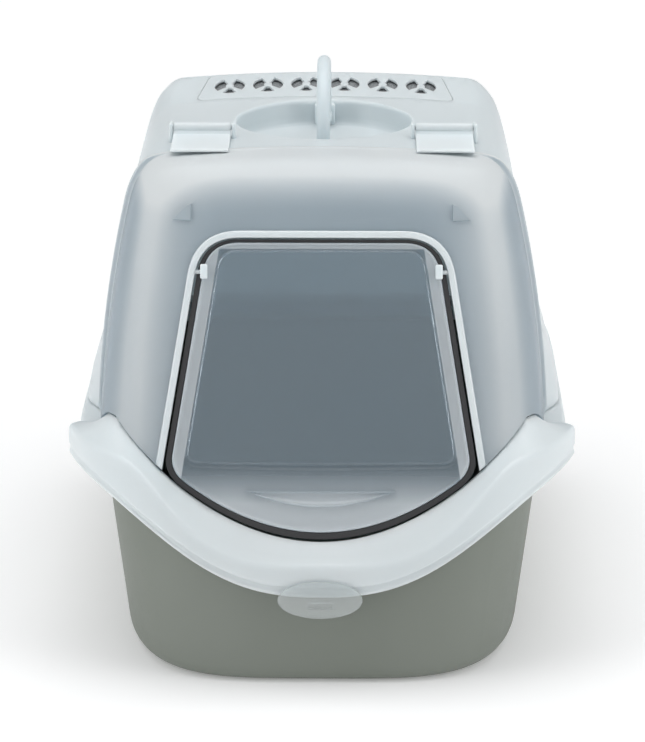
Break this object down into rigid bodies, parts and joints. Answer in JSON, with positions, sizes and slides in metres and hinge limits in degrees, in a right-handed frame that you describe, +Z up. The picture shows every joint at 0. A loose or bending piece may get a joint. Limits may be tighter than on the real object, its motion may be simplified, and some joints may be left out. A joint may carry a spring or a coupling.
{
  "type": "hooded cat litter box",
  "caption": "Hooded litter box: tapered tray, wavy rim frame, rear hood with carrying bail and vented filter lid, hinged frosted visor with a clear swing flap.",
  "frame": {"origin": "on the ground under the middle of the box", "axes": "+Z up, the doorway faces -Y, +X to the right seen from the front"},
  "size_m": [0.3998, 0.5673, 0.4375],
  "materials": {
    "tray_grey": "fine matte, warm grey-green",
    "milky_white": "milky, slightly translucent satin",
    "frosted": "frosted see-through",
    "smoky_clear": "clear, lightly smoked, polished",
    "dark_rubber": "dull black soft edging",
    "pin_white": "plain satin",
    "carbon_foam": "open black carbon foam"
  },
  "bodies": {
    "pan": {"litter_pan": "tray_grey"},
    "rim": {"rim_frame": "milky_white"},
    "latch": {"front_latch": "frosted"},
    "hood": {"hood_shell": "milky_white", "hinge_pin_left": "pin_white", "hinge_pin_right": "pin_white", "handle_pin_front": "pin_white", "handle_pin_rear": "pin_white", "filter_tray": "milky_white", "filter_pad": "carbon_foam"},
    "visor": {"visor_shell": "frosted", "door_frame": "milky_white", "hinge_arm_left": "milky_white", "hinge_arm_right": "milky_white"},
    "door": {"swing_door": "smoky_clear", "door_seal": "dark_rubber", "door_pivot_left": "milky_white", "door_pivot_right": "milky_white"},
    "handle": {"carry_handle": "milky_white"},
    "filter_lid": {"filter_cover": "milky_white"}
  },
  "joints": [
    {"name": "rim_lift", "type": "slide", "parent": "pan", "child": "rim", "axis": [0, 0, 1], "range_m": [0, 0.15]},
    {"name": "latch_flex", "type": "hinge", "parent": "rim", "child": "latch", "pos_m": [0, -0.2808, 0.0885], "axis": [-1, 0, 0], "range_deg": [0, 20], "stiffness_Nm_per_rad": 0.05},
    {"name": "hood_lift", "type": "slide", "parent": "rim", "child": "hood", "axis": [0, 0, 1], "range_m": [0, 0.2]},
    {"name": "visor_hinge", "type": "hinge", "parent": "hood", "child": "visor", "pos_m": [0, -0.058, 0.3925], "axis": [-1, 0, 0], "range_deg": [0, 95]},
    {"name": "door_swing", "type": "hinge", "parent": "visor", "child": "door", "pos_m": [0, -0.18406, 0.3073], "axis": [-1, 0, 0], "range_deg": [-65, 65]},
    {"name": "handle_fold", "type": "hinge", "parent": "hood", "child": "handle", "pos_m": [0, 0.0035, 0.3755], "axis": [0, 1, 0], "range_deg": [-88, 88]},
    {"name": "filter_lift", "type": "slide", "parent": "hood", "child": "filter_lid", "axis": [0, -0.2759, 0.9612], "range_m": [0, 0.06]}
  ]
}
